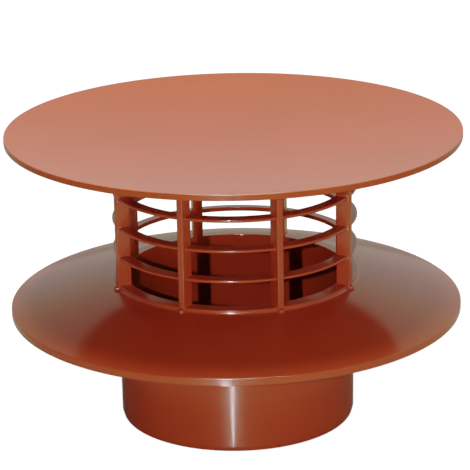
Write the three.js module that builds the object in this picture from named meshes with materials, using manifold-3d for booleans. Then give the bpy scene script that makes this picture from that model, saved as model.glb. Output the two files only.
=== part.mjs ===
// Static roof vent in moulded terracotta plastic: a spigot with a rain disc and
// a bird cage moulded on it, and a dished cap that sits on top of the cage.
// Base and cage are one moulding, parted here at the neck between them.
// Millimetres, +Z up, origin at the centre of the spigot's lower edge.

import * as THREE from 'three';
import { mergeVertices } from 'three/addons/utils/BufferGeometryUtils.js';
import Module from 'manifold-3d';

const wasm = await Module();
wasm.setup();

// Spigot, the tube that goes on the vent pipe
const spigotRadius = 50;
const spigotWall = 3;
const spigotDraft = 0.3;
const leadInHeight = 2;
const leadInDepth = 0.6;

// Outer radius of both rain disc and cap
const ventRadius = 95.7;

// Rain disc, which falls outwards from the shoulder under the cage
const discWall = 2.8;
const shoulderFoot = 61;
const discFall = 10.5;
const discStartSlope = 0.176;
const lipHeight = 3.2;
const lipWidth = 2.4;

// Shoulder, the bead that the fins stand on
const shoulderWidth = 5;
const shoulderHeight = 2;
const shoulderRound = 0.9;
const footFillet = 0.8;

// Cage of upright fins and level rings
const ringCount = 4;
const windowHeight = 11;
const ringWidth = 4.8;
const ringInnerHeight = 1.8;
const ringOuterHeight = 1.3;
const ringEdge = 0.35;
const finCount = 8;
const finStandOut = 1.1;
const finOuterWidth = 2.6;
const finInnerWidth = 4.6;
const finEdge = 0.5;
const finSetBack = 0.15;
const finRoot = 1.5;

// Cap, a shallow bowl with a collar under it
const capWall = 2.6;
const bowlDepth = 7;
const collarHeight = 3.2;
const rimRound = 0.5;

// Gap between two pieces that meet
const seamGap = 0.3;

const sides = 64;
const curveSteps = 6;
const terracotta = { color: 0xa5502f, roughness: 0.3, metalness: 0 };

// Values that follow from the sizes above
const boreRadius = spigotRadius - spigotWall;
const spigotTopRadius = spigotRadius + spigotDraft;
const shoulderRadius = boreRadius + shoulderWidth;
const ringRadius = boreRadius + ringWidth;
const finRadius = ringRadius + finStandOut;
const discStart = shoulderRadius + footFillet;
const discRun = ventRadius - discStart;
const discCurve = (discFall - discStartSlope * discRun) / (discRun * discRun);
const shoulderTop = shoulderFoot + shoulderHeight;
const ringPitch = windowHeight + ringInnerHeight;
const cageTop = shoulderTop + ringCount * ringPitch;
const topRing = cageTop - ringInnerHeight / 2;
const finTop = topRing + ringOuterHeight / 2;
const collarFoot = cageTop + seamGap;
const bowlShare = (ringRadius / ventRadius) ** 2;
const bowlFloor = collarFoot + collarHeight + capWall - bowlDepth * bowlShare;

// Height of the disc's upper face: a fall that steepens outwards
function discTop(r) {
  const run = r - discStart;
  return shoulderFoot - discStartSlope * run - discCurve * run * run;
}

// Height of the cap's upper face: a bowl that deepens with the square of the radius
function bowlTop(r) {
  return bowlFloor + bowlDepth * (r / ventRadius) ** 2;
}

// Points on a curve of height over radius, from one radius to the other
function sweepRadius(from, to, height) {
  const points = [];
  for (let i = 0; i <= curveSteps; i += 1) {
    const r = from + (to - from) * i / curveSteps;
    points.push([r, height(r)]);
  }
  return points;
}

// A closed profile of [radius, height] points turned round the Z axis
function turned(points) {
  const profile = points.map(([r, z]) => new THREE.Vector2(r, z));
  const geometry = new THREE.LatheGeometry(profile, sides);
  return geometry.rotateX(Math.PI / 2);
}

// A three.js geometry as a solid that can be joined to others
function solid(geometry) {
  const bare = geometry.clone();
  bare.deleteAttribute('normal');
  bare.deleteAttribute('uv');
  const merged = mergeVertices(bare, 1e-4);
  const mesh = new wasm.Mesh({
    numProp: 3,
    vertProperties: new Float32Array(merged.attributes.position.array),
    triVerts: new Uint32Array(merged.index.array),
  });
  return new wasm.Manifold(mesh);
}

// A joined solid back as a three.js geometry
function geometryOf(manifold) {
  const mesh = manifold.getMesh();
  const geometry = new THREE.BufferGeometry();
  geometry.setAttribute('position', new THREE.BufferAttribute(new Float32Array(mesh.vertProperties), 3));
  geometry.setIndex(new THREE.BufferAttribute(new Uint32Array(mesh.triVerts), 1));
  geometry.computeVertexNormals();
  return geometry;
}

// Spigot, disc with its drip lip, and shoulder, as one turned profile
function spigotAndDisc() {
  const lipInner = ventRadius - lipWidth;
  const lipTop = discTop(ventRadius) - rimRound;
  const lipFoot = discTop(ventRadius) - lipHeight;
  const discUnder = (r) => discTop(r) - discWall;
  return turned([
    [boreRadius, 0],
    [spigotRadius - leadInDepth, 0],
    [spigotRadius, leadInHeight],
    ...sweepRadius(spigotTopRadius, lipInner, discUnder),
    [lipInner + rimRound, lipFoot],
    [ventRadius - rimRound / 2, lipFoot],
    [ventRadius, lipFoot + rimRound],
    [ventRadius, lipTop],
    ...sweepRadius(ventRadius - rimRound, discStart, discTop),
    [shoulderRadius, shoulderFoot + footFillet],
    [shoulderRadius, shoulderTop - shoulderRound],
    [shoulderRadius - shoulderRound, shoulderTop - shoulderRound / 4],
    [boreRadius + shoulderRound, shoulderTop],
    [boreRadius, shoulderTop - shoulderRound],
    [boreRadius, 0],
  ]);
}

// One level ring, thicker at the bore than at its outer edge
function ring(z) {
  const inner = ringInnerHeight / 2;
  const outer = ringOuterHeight / 2;
  return turned([
    [boreRadius, z - inner],
    [ringRadius - ringEdge, z - outer],
    [ringRadius, z - outer + ringEdge],
    [ringRadius, z + outer - ringEdge],
    [ringRadius - ringEdge, z + outer],
    [boreRadius, z + inner],
    [boreRadius, z - inner],
  ]);
}

// The fins' angles round the axis
const finAngles = Array.from({ length: finCount }, (_, i) => (i + 0.5) * 2 * Math.PI / finCount);

// A stretch of one upright fin, a wedge in plan that is narrower outside
function fin(angle, foot, top) {
  const innerHalf = finInnerWidth / 2;
  const outerHalf = finOuterWidth / 2;
  const innerFace = boreRadius + finSetBack;
  const plan = new THREE.Shape();
  plan.moveTo(innerFace, -innerHalf);
  plan.lineTo(finRadius - finEdge, -outerHalf);
  plan.lineTo(finRadius, -outerHalf + finEdge);
  plan.lineTo(finRadius, outerHalf - finEdge);
  plan.lineTo(finRadius - finEdge, outerHalf);
  plan.lineTo(innerFace, innerHalf);
  plan.closePath();
  const geometry = new THREE.ExtrudeGeometry(plan, { depth: top - foot, bevelEnabled: false });
  return geometry.translate(0, 0, foot).rotateZ(angle);
}

// Base: spigot, disc and shoulder, with the feet of the fins down the shoulder's side
function base() {
  let body = solid(spigotAndDisc());
  for (const angle of finAngles) {
    body = body.add(solid(fin(angle, shoulderFoot - finRoot, shoulderTop)));
  }
  return geometryOf(body);
}

// Cage: the rings, and the fins above the shoulder
function cage() {
  let body = solid(ring(topRing));
  for (let i = 1; i < ringCount; i += 1) {
    body = body.add(solid(ring(topRing - i * ringPitch)));
  }
  for (const angle of finAngles) {
    body = body.add(solid(fin(angle, shoulderTop + seamGap, finTop)));
  }
  return geometryOf(body);
}

// Cap: a bowl of even wall, with a collar that stands on the cage's top ring
function cap() {
  const rimTop = bowlTop(ventRadius);
  const bowlUnder = (r) => bowlTop(r) - capWall;
  return turned([
    [0, bowlUnder(0)],
    [boreRadius, bowlUnder(boreRadius)],
    [boreRadius, collarFoot],
    [ringRadius, collarFoot],
    ...sweepRadius(ringRadius, ventRadius - rimRound, bowlUnder),
    [ventRadius, rimTop - capWall + rimRound / 2],
    [ventRadius, rimTop - rimRound],
    ...sweepRadius(ventRadius - rimRound, 0, bowlTop),
  ]);
}

function piece(name, geometry) {
  const mesh = new THREE.Mesh(geometry, new THREE.MeshStandardMaterial(terracotta));
  mesh.name = name;
  return mesh;
}

const vent = new THREE.Group();
vent.add(piece('base', base()));
vent.add(piece('cage', cage()));
vent.add(piece('cap', cap()));

export default vent;
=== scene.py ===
# Static roof vent in glossy terracotta plastic: a spigot with a rain disc and a
# cage of fins and rings moulded on it, under a dished cap. Metres, +Z up, with the
# origin at the centre of the spigot's lower edge and the viewer towards -Y.

import math

import bpy
import numpy as np
from mathutils import Matrix, Vector


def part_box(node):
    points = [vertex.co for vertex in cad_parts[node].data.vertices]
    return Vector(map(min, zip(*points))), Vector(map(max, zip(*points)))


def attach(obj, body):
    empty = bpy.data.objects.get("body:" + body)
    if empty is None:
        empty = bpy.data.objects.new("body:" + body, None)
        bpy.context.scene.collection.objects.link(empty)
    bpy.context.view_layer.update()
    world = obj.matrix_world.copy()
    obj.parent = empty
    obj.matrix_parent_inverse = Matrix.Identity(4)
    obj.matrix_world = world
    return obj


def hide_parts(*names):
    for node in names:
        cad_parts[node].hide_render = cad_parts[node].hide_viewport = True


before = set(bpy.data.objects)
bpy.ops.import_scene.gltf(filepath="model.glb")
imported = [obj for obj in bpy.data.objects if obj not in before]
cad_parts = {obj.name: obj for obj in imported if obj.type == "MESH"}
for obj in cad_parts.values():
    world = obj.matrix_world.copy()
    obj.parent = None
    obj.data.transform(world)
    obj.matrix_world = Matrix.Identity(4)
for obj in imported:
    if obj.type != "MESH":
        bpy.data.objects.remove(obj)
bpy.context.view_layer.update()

mm = 0.001

# The frame's own sizes, which the fine pieces take over
base_low, base_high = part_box("base")
cap_low, cap_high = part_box("cap")
disc_radius = (base_high.x - base_low.x) / 2
cap_radius = (cap_high.x - cap_low.x) / 2
cage_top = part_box("cage")[1].z
collar_foot = cap_low.z
cap_rim = cap_high.z

# Spigot
bore_radius = 47 * mm
spigot_radius = 50 * mm
spigot_draft = 0.3 * mm
lead_in_height = 2 * mm
lead_in_depth = 0.6 * mm
spigot_edge = 0.35 * mm

# Rain disc and the shoulder on it
shoulder_foot = 61 * mm
shoulder_height = 2 * mm
shoulder_tilt = 0.35 * mm
shoulder_radius = 52 * mm
shoulder_round = 0.3 * mm
foot_fillet = 1.0 * mm
disc_wall = 2.8 * mm
disc_fall = 10.5 * mm
disc_start_slope = 0.176
lip_height = 3.2 * mm
lip_width = 2.4 * mm
lip_round = 0.55 * mm
lip_inner_round = 0.4 * mm
under_fillet = 2 * mm

# Cage
ring_count = 4
ring_pitch = 12.8 * mm
ring_radius = 51.8 * mm
ring_inner_height = 1.8 * mm
ring_outer_height = 1.3 * mm
ring_edge = 0.55 * mm
ring_inner_edge = 0.2 * mm
fin_count = 8
fin_radius = 52.9 * mm
fin_outer_width = 2.6 * mm
fin_inner_width = 4.6 * mm
fin_edge = 0.55 * mm
fin_inner_edge = 0.35 * mm
fin_set_back = 0.15 * mm
fin_root = 1.5 * mm
joint_fillet = 0.5 * mm
nub_radius = 1.3 * mm
nub_lift = 0.3 * mm
nub_steps = 20

# Cap
cap_wall = 2.6 * mm
bowl_depth = 7 * mm
cap_round = 0.35 * mm
collar_edge = 0.3 * mm

# Length left free beside a profile's corner, for its rounding
corner_room = 3 * mm

# How finely the surfaces are divided
round_steps = 256
arc_steps = 7
curve_steps = 44
ceiling_steps = 16
cap_under_steps = 20
side_steps = 14
fillet_steps = 5
sharp_angle = math.radians(32)

# Plastic
plastic_ior = 1.52
base_deep = (0.285, 0.045, 0.017)
base_light = (0.31, 0.05, 0.02)
cap_deep = (0.30, 0.045, 0.013)
cap_light = (0.325, 0.05, 0.015)
drift_size = 45 * mm
gloss_size = 12 * mm
gloss_roughness = (0.13, 0.17)
wave_size = 18 * mm
wave_height = 0.02 * mm
grain_size = 0.5 * mm
grain_height = 0.001 * mm

# Marks on the cap: radius, degrees from the viewer's side towards +X, half width,
# half length, half height, and how much darker
cap_marks = (
    (24.5 * mm, 1.5, 1.3 * mm, 3 * mm, 3 * mm, 0.14),
    (90 * mm, 2.3, 1.0 * mm, 8 * mm, 6 * mm, 0.3),
)

# Distance from a mark's middle, in its own sizes, where it starts and ends to fade
mark_fade = (0.5, 1.3)

# Camera, in metres, radians and the photograph's pixels
frame_pixels = 470
focal_pixels = 2256.7
sensor_width = 36.0
camera_distance = 0.910
camera_height = 0.374
camera_pitch = 0.3144
camera_roll = -0.0181
camera_turn = math.radians(2.35)

# Light and floor
flash_turn_degrees = -2.85
flash_distance = 0.91
flash_height = 0.374
flash_size = 0.012
flash_power = 4.6
glint_power = 9.0
low_turn_degrees = 12
low_distance = 1.2
low_height = 0.05
low_size = 0.3
low_power = 8.0
top_size = 0.55
top_power = 36.0
top_tint = (1.0, 0.91, 0.82)
top_place = (0, 0, 1.3)
room_right = 0.7
room_left = 0.15
room_back = 0.9
side_tint = (1.0, 1.0, 1.0)
back_tint = (1.0, 0.78, 0.65)
floor_reach = 3.0
floor_shown = 0.25
floor_glow = 2.2
floor_thrown = (0.27, 0.25, 0.18)
floor_roughness = 0.5
glare_turn = math.radians(-2.85)
glare_spread = math.radians(3.5)
glare_length = 170 * mm
glare_gap = 0.5 * mm
glare_strength = 35.0

# Tone: pairs of light and how bright it is shown, and the light that is shown white
tone_points = ((0.0275, 0.0152), (0.07, 0.053), (0.162, 0.162), (0.78, 0.485))
tone_white = 2.2

# Values that follow
ring_width = ring_radius - bore_radius
disc_start = shoulder_radius + foot_fillet
disc_run = disc_radius - disc_start
disc_curve = (disc_fall - disc_start_slope * disc_run) / disc_run ** 2
shoulder_top = shoulder_foot + shoulder_height
top_ring = cage_top - ring_inner_height / 2
ring_heights = [top_ring - i * ring_pitch for i in range(ring_count)]
fin_top = top_ring + ring_outer_height / 2
fin_foot = shoulder_foot - fin_root
bowl_floor = cap_rim - bowl_depth


# Height of the disc's upper face at a radius: a fall that steepens outwards
def disc_top(r):
    run = r - disc_start
    return shoulder_foot - disc_start_slope * run - disc_curve * run * run


# Height of the cap's upper face: a bowl that deepens with the square of the radius
def bowl_top(r):
    return bowl_floor + bowl_depth * (r / cap_radius) ** 2


def curve(start, end, height, steps=curve_steps):
    """Points (r, height(r)) with r in even steps from start to end, both ends kept."""
    r = np.linspace(start, end, steps)
    return np.column_stack([r, height(r)])


def arc(before, corner, after, radius):
    """The corner of a profile rounded: a circle's arc of that radius, which touches
    the lines corner-before and corner-after, in arc_steps even steps of angle."""
    before, corner, after = (np.asarray(p, float) for p in (before, corner, after))
    back = (before - corner) / np.linalg.norm(before - corner)
    ahead = (after - corner) / np.linalg.norm(after - corner)
    half = math.acos(np.clip(back @ ahead, -1, 1)) / 2
    reach = radius / math.tan(half)
    middle = (back + ahead) / np.linalg.norm(back + ahead)
    centre = corner + middle * radius / math.sin(half)
    first = corner + back * reach - centre
    last = corner + ahead * reach - centre
    sweep = math.pi - 2 * half
    t = np.linspace(0, 1, arc_steps)[:, None]
    return centre + (np.sin((1 - t) * sweep) * first + np.sin(t * sweep) * last) / math.sin(sweep)


def rounded(points):
    """A closed outline from (x, y, radius) corners, each rounded by an arc."""
    corners = np.asarray(points, float)
    count = len(corners)
    parts = []
    for i in range(count):
        x, y, radius = corners[i]
        parts.append(arc(corners[i - 1][:2], (x, y), corners[(i + 1) % count][:2], radius))
    return np.vstack(parts)


def turned(outline, steps=round_steps):
    """Vertices and faces of an outline (r, z) turned round the Z axis: a vertex is
    (r cos a, r sin a, z) for each outline point and each of the angles a.
    A closed outline gives a ring of quads; one that ends on the axis gets a fan there."""
    outline = np.asarray(outline, float)
    open_ends = outline[0, 0] == 0 and outline[-1, 0] == 0
    rows = outline[1:-1] if open_ends else outline
    a = np.arange(steps) * 2 * math.pi / steps
    r, z = rows[:, 0][:, None], rows[:, 1][:, None]
    grid = np.stack([r * np.cos(a), r * np.sin(a), z + 0 * a], axis=-1)
    vertices = grid.reshape(-1, 3)
    i = np.arange(len(rows) - 1 if open_ends else len(rows))[:, None]
    j = np.arange(steps)[None, :]
    below, above = i * steps, (i + 1) % len(rows) * steps
    beside = (j + 1) % steps
    quads = np.stack([below + j, below + beside, above + beside, above + j], axis=-1).reshape(-1, 4)
    faces = quads.tolist()
    if open_ends:
        first, last = len(vertices), len(vertices) + 1
        vertices = np.vstack([vertices, [0, 0, outline[0, 1]], [0, 0, outline[-1, 1]]])
        end = (len(rows) - 1) * steps
        k = np.arange(steps)
        faces += np.column_stack([0 * k + first, (k + 1) % steps, k]).tolist()
        faces += np.column_stack([0 * k + last, end + k, end + (k + 1) % steps]).tolist()
    return vertices, faces


def base_outline():
    """Spigot, disc with its drip lip, and shoulder, as one closed outline."""
    lip_inner = disc_radius - lip_width
    lip_foot = disc_top(disc_radius) - lip_height

    def under(r):
        return disc_top(r) - disc_wall

    spigot_top = (spigot_radius + spigot_draft, under(spigot_radius + spigot_draft))
    bore_foot = (bore_radius, 0)
    spigot_foot = (spigot_radius - lead_in_depth, 0)
    lead_in = (spigot_radius, lead_in_height)
    lip_corner = (lip_inner, under(lip_inner))
    lip_end = (lip_inner, lip_foot)
    rim_foot = (disc_radius, lip_foot)
    rim_top = (disc_radius, disc_top(disc_radius))
    foot = (shoulder_radius, shoulder_foot + disc_start_slope * foot_fillet)
    outer_top = (shoulder_radius, shoulder_top - shoulder_tilt / 2)
    bore_top = (bore_radius, shoulder_top + shoulder_tilt / 2)
    under_side = curve(spigot_top[0] + corner_room, lip_inner - corner_room, under)
    upper_side = curve(disc_radius - corner_room, disc_start + corner_room, disc_top)
    return np.vstack([
        arc(bore_top, bore_foot, spigot_foot, spigot_edge),
        arc(bore_foot, spigot_foot, lead_in, spigot_edge),
        arc(spigot_foot, lead_in, spigot_top, lead_in_depth),
        arc(lead_in, spigot_top, under_side[0], under_fillet),
        under_side,
        arc(under_side[-1], lip_corner, lip_end, lip_inner_round),
        arc(lip_corner, lip_end, rim_foot, lip_round),
        arc(lip_end, rim_foot, rim_top, lip_round),
        arc(rim_foot, rim_top, upper_side[0], lip_round),
        upper_side,
        arc(upper_side[-1], foot, outer_top, foot_fillet),
        arc(foot, outer_top, bore_top, shoulder_round),
        arc(outer_top, bore_top, bore_foot, shoulder_round),
    ])


def ring_outline(z):
    """A level ring's closed outline: thicker at the bore than at its outer edge."""
    inner = ring_inner_height / 2
    outer = ring_outer_height / 2
    return rounded([
        (bore_radius, z - inner, ring_inner_edge),
        (ring_radius, z - outer, ring_edge),
        (ring_radius, z + outer, ring_edge),
        (bore_radius, z + inner, ring_inner_edge),
    ])


def grow(outline):
    """Unit vectors that point out of a closed outline that runs counter-clockwise,
    square to the line between each point's two neighbours."""
    along = np.roll(outline, -1, axis=0) - np.roll(outline, 1, axis=0)
    out = np.column_stack([along[:, 1], -along[:, 0]])
    return out / np.linalg.norm(out, axis=1)[:, None]


def fin_section():
    """A fin's closed plan outline (radius, side): a wedge with rounded corners, its two
    long sides divided evenly so that they can take a fillet where they meet a ring."""
    inner_half, outer_half = fin_inner_width / 2, fin_outer_width / 2
    inner = bore_radius + fin_set_back
    corners = rounded([
        (inner, -inner_half, fin_inner_edge),
        (fin_radius, -outer_half, fin_edge),
        (fin_radius, outer_half, fin_edge),
        (inner, inner_half, fin_inner_edge),
    ])
    share = np.linspace(0, 1, side_steps)[1:-1, None]
    side = corners[arc_steps - 1] * (1 - share) + corners[arc_steps] * share
    return np.vstack([corners[:arc_steps], side, corners[arc_steps:3 * arc_steps],
                      side[::-1] * (1, -1), corners[3 * arc_steps:]])


def fade(value, start, end):
    """0 below start, 1 above end, and a smooth rise between them."""
    t = np.clip((value - start) / (end - start), 0, 1)
    return t * t * (3 - 2 * t)


def fin(angle):
    """Vertices and faces of an upright fin. The surface point of outline point k on row i
    is outline(k) + out(k) flare(i) share(k, i) at height z(k, i). The flare is a quarter
    circle above and below every ring and above the shoulder, so that they meet in a fillet."""
    section = fin_section()
    out = grow(section)
    u = section[:, 0]
    turn = np.linspace(math.pi / 2, 0, fillet_steps)
    rise = joint_fillet * (1 - np.sin(turn))
    flare = joint_fillet * (1 - np.cos(turn))
    taper = (ring_inner_height - ring_outer_height) / 2 / ring_width
    half_ring = ring_inner_height / 2 - taper * (u - bore_radius)
    inside = fade(u, bore_radius + fin_inner_edge, bore_radius + 2 * fin_inner_edge)
    at_ring = inside * (1 - fade(u, ring_radius - ring_edge, ring_radius))
    on_shoulder = 1 - fade(u, shoulder_radius - shoulder_round, shoulder_radius)
    tilt = shoulder_tilt * (0.5 - (u - bore_radius) / (shoulder_radius - bore_radius))
    floor = disc_top(np.maximum(u, disc_start)) + (shoulder_top + tilt - shoulder_foot) * on_shoulder
    rows = [(0 * u + fin_foot, joint_fillet * inside)]
    rows += [(floor + up, wide * inside) for up, wide in zip(rise, flare)]
    for z in sorted(ring_heights):
        rows += [(z - half_ring - up, wide * at_ring) for up, wide in zip(rise[::-1], flare[::-1])]
        rows += [(z + half_ring + up, wide * at_ring) for up, wide in zip(rise, flare)]
    rows = rows[:-fillet_steps] + [(0 * u + fin_top, 0 * u)]
    height = np.array([row[0] for row in rows])
    wide = np.array([row[1] for row in rows])
    flat = section[None] + out[None] * wide[..., None]
    x = flat[..., 0] * math.cos(angle) - flat[..., 1] * math.sin(angle)
    y = flat[..., 0] * math.sin(angle) + flat[..., 1] * math.cos(angle)
    vertices = np.stack([x, y, height], axis=-1).reshape(-1, 3)
    count = len(section)
    i = np.arange(len(rows) - 1)[:, None] * count
    j = np.arange(count)[None, :]
    beside = (j + 1) % count
    faces = np.stack([i + j, i + beside, i + count + beside, i + count + j], axis=-1)
    faces = faces.reshape(-1, 4).tolist()
    faces.append(np.arange(count)[::-1].tolist())
    faces.append((np.arange(count) + (len(rows) - 1) * count).tolist())
    return vertices, faces


def nub(angle):
    """Vertices and faces of the round nub that a fin's foot ends in on the disc: a sphere
    (R cos t cos a, R cos t sin a, R sin t) moved to the fin's outer edge."""
    t = np.linspace(-math.pi / 2, math.pi / 2, nub_steps)
    out = np.concatenate([[0], np.cos(t[1:-1]), [0]])
    vertices, faces = turned(np.column_stack([out, np.sin(t)]) * nub_radius, nub_steps)
    height = disc_top(fin_radius) + nub_lift
    centre = (fin_radius * math.cos(angle), fin_radius * math.sin(angle), height)
    return vertices + centre, faces


def mesh_object(name, shells):
    """One mesh object made of closed shells, each (vertices, faces), with smooth faces."""
    vertices = np.vstack([shell[0] for shell in shells])
    offsets = np.cumsum([0] + [len(shell[0]) for shell in shells])
    faces = [[v + offset for v in face] for shell, offset in zip(shells, offsets) for face in shell[1]]
    mesh = bpy.data.meshes.new(name)
    mesh.from_pydata(vertices, [], faces)
    piece = bpy.data.objects.new(name, mesh)
    bpy.context.scene.collection.objects.link(piece)
    return piece


def settle(piece):
    """Applies a piece's modifiers, so that its mesh holds its final shape."""
    graph = bpy.context.evaluated_depsgraph_get()
    graph.update()
    mesh = bpy.data.meshes.new_from_object(piece.evaluated_get(graph))
    piece.modifiers.clear()
    piece.data = mesh


def shade(piece):
    """Smooth shading, with a hard edge only where two faces meet at more than sharp_angle,
    and with normals that leave the large flat faces flat."""
    piece.data.polygons.foreach_set("use_smooth", np.ones(len(piece.data.polygons), bool))
    piece.data.set_sharp_from_angle(angle=sharp_angle)
    weighting = piece.modifiers.new("flat faces stay flat", "WEIGHTED_NORMAL")
    weighting.mode = "FACE_AREA"
    weighting.weight = 50
    weighting.keep_sharp = True
    settle(piece)


def base_moulding():
    """Base and cage in one piece: the turned shells joined to the fins and to the nubs at
    their feet by booleans."""
    outlines = [base_outline()] + [ring_outline(z) for z in ring_heights]
    turned_parts = mesh_object("base_moulding", [turned(outline) for outline in outlines])
    angles = [(i + 0.5) * 2 * math.pi / fin_count for i in range(fin_count)]
    fins = mesh_object("fins_to_join", [fin(angle) for angle in angles])
    nubs = mesh_object("nubs_to_join", [nub(angle) for angle in angles])
    for extra in (fins, nubs):
        union = turned_parts.modifiers.new(extra.name, "BOOLEAN")
        union.operation = "UNION"
        union.solver = "MANIFOLD"
        union.object = extra
    settle(turned_parts)
    bpy.data.objects.remove(fins)
    bpy.data.objects.remove(nubs)
    shade(turned_parts)
    return turned_parts


def cap_outline():
    """The cap from the middle of its underside to the middle of its bowl."""
    def under(r):
        return bowl_top(r) - cap_wall

    inner_top = (bore_radius, under(bore_radius))
    inner_foot = (bore_radius, collar_foot)
    outer_foot = (ring_radius, collar_foot)
    outer_top = (ring_radius, under(ring_radius))
    rim_foot = (cap_radius, under(cap_radius))
    rim_top = (cap_radius, cap_rim)
    ceiling = curve(0, bore_radius - corner_room, under, ceiling_steps)
    under_side = curve(ring_radius + corner_room, cap_radius - corner_room, under, cap_under_steps)
    bowl = curve(cap_radius - corner_room, 0, bowl_top)
    return np.vstack([
        ceiling,
        arc(ceiling[-1], inner_top, inner_foot, joint_fillet),
        arc(inner_top, inner_foot, outer_foot, collar_edge),
        arc(inner_foot, outer_foot, outer_top, collar_edge),
        arc(outer_foot, outer_top, under_side[0], joint_fillet),
        under_side,
        arc(under_side[-1], rim_foot, rim_top, cap_round),
        arc(rim_foot, rim_top, bowl[0], cap_round),
        bowl,
    ])


def cap_piece():
    piece = mesh_object("cap_moulding", [turned(cap_outline())])
    shade(piece)
    return piece


class Nodes:
    """Short calls for building a material's node tree."""

    def __init__(self, tree):
        self.tree = tree

    def add(self, kind, **values):
        node = self.tree.nodes.new(kind)
        for key, value in values.items():
            if key in node.inputs:
                node.inputs[key].default_value = value
            else:
                setattr(node, key, value)
        return node

    def link(self, output, target):
        self.tree.links.new(output, target)


def blank_material(name):
    material = bpy.data.materials.new(name)
    material.use_nodes = True
    material.node_tree.nodes.clear()
    return material, Nodes(material.node_tree)


def noise(nodes, place, size, detail=2.0):
    """Noise whose features are about size metres across."""
    node = nodes.add("ShaderNodeTexNoise", Scale=1 / size, Detail=detail)
    nodes.link(place, node.inputs["Vector"])
    return node.outputs["Fac"]


def spread(nodes, value, low, high, start=0.3, end=0.7):
    """The value from start to end laid out over low to high."""
    node = nodes.add("ShaderNodeMapRange")
    for key, number in (("From Min", start), ("From Max", end), ("To Min", low), ("To Max", high)):
        node.inputs[key].default_value = number
    nodes.link(value, node.inputs["Value"])
    return node.outputs["Result"]


def blend_colours(nodes, share, first, second):
    node = nodes.add("ShaderNodeMix", data_type="RGBA")
    node.inputs[6].default_value = (*first, 1)
    node.inputs[7].default_value = (*second, 1)
    nodes.link(share, node.inputs[0])
    return node.outputs[2]


def marked(nodes, place, colour, mark):
    """A colour darkened in one soft-edged oval mark on the bowl."""
    radius, turn_degrees, across, along, high, depth = mark
    turn = math.radians(turn_degrees)
    centre = (radius * math.sin(turn), -radius * math.cos(turn), bowl_top(radius))
    sizes = (across, along, high)
    oval = nodes.add("ShaderNodeMapping", Location=[-c / size for c, size in zip(centre, sizes)],
                     Scale=[1 / size for size in sizes])
    nodes.link(place, oval.inputs["Vector"])
    away = nodes.add("ShaderNodeVectorMath", operation="LENGTH")
    nodes.link(oval.outputs["Vector"], away.inputs[0])
    darker = nodes.add("ShaderNodeMix", data_type="RGBA", blend_type="MULTIPLY")
    nodes.link(spread(nodes, away.outputs["Value"], depth, 0, *mark_fade), darker.inputs[0])
    nodes.link(colour, darker.inputs[6])
    darker.inputs[7].default_value = (0, 0, 0, 1)
    return darker.outputs[2]


def moulded_plastic(name, deep, light, marks=()):
    """Glossy moulded plastic: a colour that drifts slowly between two near shades, a gloss
    that varies over a few millimetres, the faint waviness of a moulded surface, and marks."""
    material, nodes = blank_material(name)
    place = nodes.add("ShaderNodeTexCoord").outputs["Object"]
    shader = nodes.add("ShaderNodeBsdfPrincipled")
    shader.inputs["IOR"].default_value = plastic_ior
    drift = spread(nodes, noise(nodes, place, drift_size, 3.0), 0, 1)
    colour = blend_colours(nodes, drift, deep, light)
    for mark in marks:
        colour = marked(nodes, place, colour, mark)
    nodes.link(colour, shader.inputs["Base Color"])
    gloss = spread(nodes, noise(nodes, place, gloss_size, 4.0), *gloss_roughness)
    nodes.link(gloss, shader.inputs["Roughness"])
    wave = nodes.add("ShaderNodeBump", Strength=1.0, Distance=wave_height)
    nodes.link(noise(nodes, place, wave_size, 1.0), wave.inputs["Height"])
    grain = nodes.add("ShaderNodeBump", Strength=1.0, Distance=grain_height)
    nodes.link(noise(nodes, place, grain_size, 2.0), grain.inputs["Height"])
    nodes.link(wave.outputs["Normal"], grain.inputs["Normal"])
    nodes.link(grain.outputs["Normal"], shader.inputs["Normal"])
    output = nodes.add("ShaderNodeOutputMaterial")
    nodes.link(shader.outputs["BSDF"], output.inputs["Surface"])
    return material


def dress(piece, material):
    """Material and body of one finished piece."""
    piece.data.materials.clear()
    piece.data.materials.append(material)
    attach(piece, "root")


def camera():
    """The photograph's camera: its place, direction and slight roll, fitted to the vent's
    outlines, with the vent's fins turned to where the photograph has them."""
    level = Vector((-math.sin(camera_turn), math.cos(camera_turn), 0))
    right = Vector((math.cos(camera_turn), math.sin(camera_turn), 0))
    ahead = level * math.cos(camera_pitch) - Vector((0, 0, math.sin(camera_pitch)))
    up = right.cross(ahead)
    across = right * math.cos(camera_roll) + up * math.sin(camera_roll)
    upright = up * math.cos(camera_roll) - right * math.sin(camera_roll)
    place = -level * camera_distance + Vector((0, 0, camera_height))
    data = bpy.data.cameras.new("camera")
    data.sensor_width = sensor_width
    data.lens = focal_pixels / frame_pixels * sensor_width
    data.clip_start = 0.05
    data.clip_end = 50
    viewer = bpy.data.objects.new("camera", data)
    turn = Matrix((across, upright, -ahead)).transposed().to_4x4()
    viewer.matrix_world = Matrix.Translation(place) @ turn
    bpy.context.scene.collection.objects.link(viewer)
    bpy.context.scene.camera = viewer


def lamp(name, place, size, power, tint=(1, 1, 1)):
    """A round soft light at a place, turned to the middle of the vent."""
    data = bpy.data.lights.new(name, "AREA")
    data.shape = "DISK"
    data.size = size
    data.energy = power
    data.color = tint
    light = bpy.data.objects.new(name, data)
    light.location = place
    aim = Vector((0, 0, cap_rim / 2)) - light.location
    light.rotation_euler = aim.to_track_quat("-Z", "Y").to_euler()
    bpy.context.scene.collection.objects.link(light)
    return light


def towards_viewer(turn_degrees, distance, height):
    """A place in front of the vent, turned round it from the viewer's side towards +X."""
    angle = math.radians(turn_degrees)
    return (distance * math.sin(angle), -distance * math.cos(angle), height)


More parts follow.
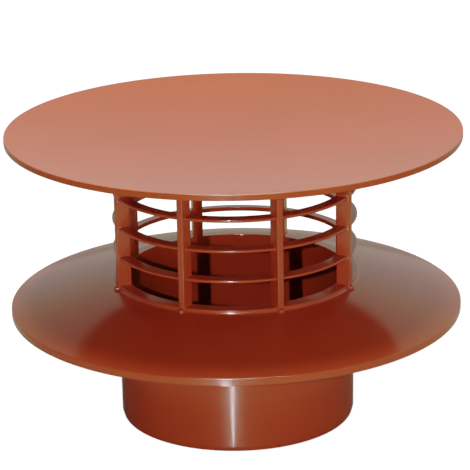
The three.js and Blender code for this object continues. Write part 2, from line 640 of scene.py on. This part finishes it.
def surroundings():
    """A dark room with light from the right, a little from the left and a warm bright back,
    each fading to nothing away from its side, and plain white where the viewer sees past
    the vent."""
    world = bpy.data.worlds.new("surroundings")
    bpy.context.scene.world = world
    world.use_nodes = True
    world.node_tree.nodes.clear()
    nodes = Nodes(world.node_tree)
    direction = nodes.add("ShaderNodeTexCoord").outputs["Generated"]
    parts = nodes.add("ShaderNodeSeparateXYZ")
    nodes.link(direction, parts.inputs["Vector"])
    sides = (
        ("X", 1, room_right, side_tint),
        ("X", -1, room_left, side_tint),
        ("Y", 1, room_back, back_tint),
    )
    glows = []
    for axis, sign, strength, tint in sides:
        side = nodes.add("ShaderNodeBackground", Color=(*tint, 1))
        nodes.link(spread(nodes, parts.outputs[axis], 0, strength, 0, sign), side.inputs["Strength"])
        glows.append(side.outputs["Background"])
    room = glows[0]
    for glow in glows[1:]:
        both = nodes.add("ShaderNodeAddShader")
        nodes.link(room, both.inputs[0])
        nodes.link(glow, both.inputs[1])
        room = both.outputs["Shader"]
    white = nodes.add("ShaderNodeBackground", Color=(1, 1, 1, 1), Strength=tone_white)
    seen = nodes.add("ShaderNodeLightPath").outputs["Is Camera Ray"]
    mix = nodes.add("ShaderNodeMixShader")
    nodes.link(seen, mix.inputs["Fac"])
    nodes.link(room, mix.inputs[1])
    nodes.link(white.outputs["Background"], mix.inputs[2])
    output = nodes.add("ShaderNodeOutputWorld")
    nodes.link(mix.outputs["Shader"], output.inputs["Surface"])


def floor():
    """A plain pale floor under the vent. What it throws back on the vent is a beige
    table's light; what the viewer sees of it is near white."""
    mesh = bpy.data.meshes.new("floor")
    reach = floor_reach
    mesh.from_pydata([(-reach, -reach, 0), (reach, -reach, 0), (reach, reach, 0), (-reach, reach, 0)],
                     [], [(0, 1, 2, 3)])
    plane = bpy.data.objects.new("floor", mesh)
    bpy.context.scene.collection.objects.link(plane)
    material, nodes = blank_material("pale floor")
    shaded = nodes.add("ShaderNodeBsdfDiffuse", Color=(floor_shown, floor_shown, floor_shown, 1))
    glow = nodes.add("ShaderNodeEmission", Strength=floor_glow)
    shown = nodes.add("ShaderNodeAddShader")
    nodes.link(shaded.outputs["BSDF"], shown.inputs[0])
    nodes.link(glow.outputs["Emission"], shown.inputs[1])
    thrown = nodes.add("ShaderNodeBsdfPrincipled", Roughness=floor_roughness)
    thrown.inputs["Base Color"].default_value = (*floor_thrown, 1)
    seen = nodes.add("ShaderNodeLightPath").outputs["Is Camera Ray"]
    mix = nodes.add("ShaderNodeMixShader")
    nodes.link(seen, mix.inputs["Fac"])
    nodes.link(thrown.outputs["BSDF"], mix.inputs[1])
    nodes.link(shown.outputs["Shader"], mix.inputs[2])
    output = nodes.add("ShaderNodeOutputMaterial")
    nodes.link(mix.outputs["Shader"], output.inputs["Surface"])
    mesh.materials.append(material)


def glare():
    """The small light's glare on the table in front of the vent: a thin wedge of light that
    widens away from the spigot, seen only as it is mirrored in the glossy plastic."""
    halfway = (camera_turn + glare_turn) / 2
    start = np.array([math.sin(halfway), -math.cos(halfway)]) * (spigot_radius + glare_gap)
    corners = [(*start, glare_gap)]
    for angle in (glare_turn - glare_spread / 2, glare_turn + glare_spread / 2):
        end = start + np.array([math.sin(angle), -math.cos(angle)]) * glare_length
        corners.append((*end, glare_gap))
    mesh = bpy.data.meshes.new("glare")
    mesh.from_pydata(corners, [], [(0, 1, 2)])
    wedge = bpy.data.objects.new("glare", mesh)
    bpy.context.scene.collection.objects.link(wedge)
    material, nodes = blank_material("glare")
    light = nodes.add("ShaderNodeEmission", Strength=glare_strength)
    output = nodes.add("ShaderNodeOutputMaterial")
    nodes.link(light.outputs["Emission"], output.inputs["Surface"])
    mesh.materials.append(material)
    wedge.visible_camera = False
    wedge.visible_diffuse = False
    wedge.visible_shadow = False
    wedge.visible_transmission = False


def tone():
    """The tone of a camera's picture, an S curve that deepens the darks and holds back the
    brights: light of each pair's first value is shown as its second, and tone_white as 1."""
    view = bpy.context.scene.view_settings
    view.view_transform = "Standard"
    view.use_curve_mapping = True
    mapping = view.curve_mapping
    mapping.white_level = (tone_white, tone_white, tone_white)
    for light, shown in tone_points:
        mapping.curves[3].points.new(light / tone_white, shown)
    mapping.update()


camera()

base = base_moulding()
dress(base, moulded_plastic("terracotta base plastic", base_deep, base_light))
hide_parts("base", "cage")

cap = cap_piece()
dress(cap, moulded_plastic("terracotta cap plastic", cap_deep, cap_light, cap_marks))
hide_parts("cap")

floor()
glare()
flash_place = towards_viewer(flash_turn_degrees, flash_distance, flash_height)
lamp("small light by the camera", flash_place, flash_size, flash_power)
glint = lamp("glint of the small light", flash_place, flash_size, glint_power)
glint.visible_diffuse = False
low_place = towards_viewer(low_turn_degrees, low_distance, low_height)
low = lamp("low light in front", low_place, low_size, low_power)
low.visible_glossy = False
lamp("soft light overhead", top_place, top_size, top_power, top_tint)
surroundings()
tone()
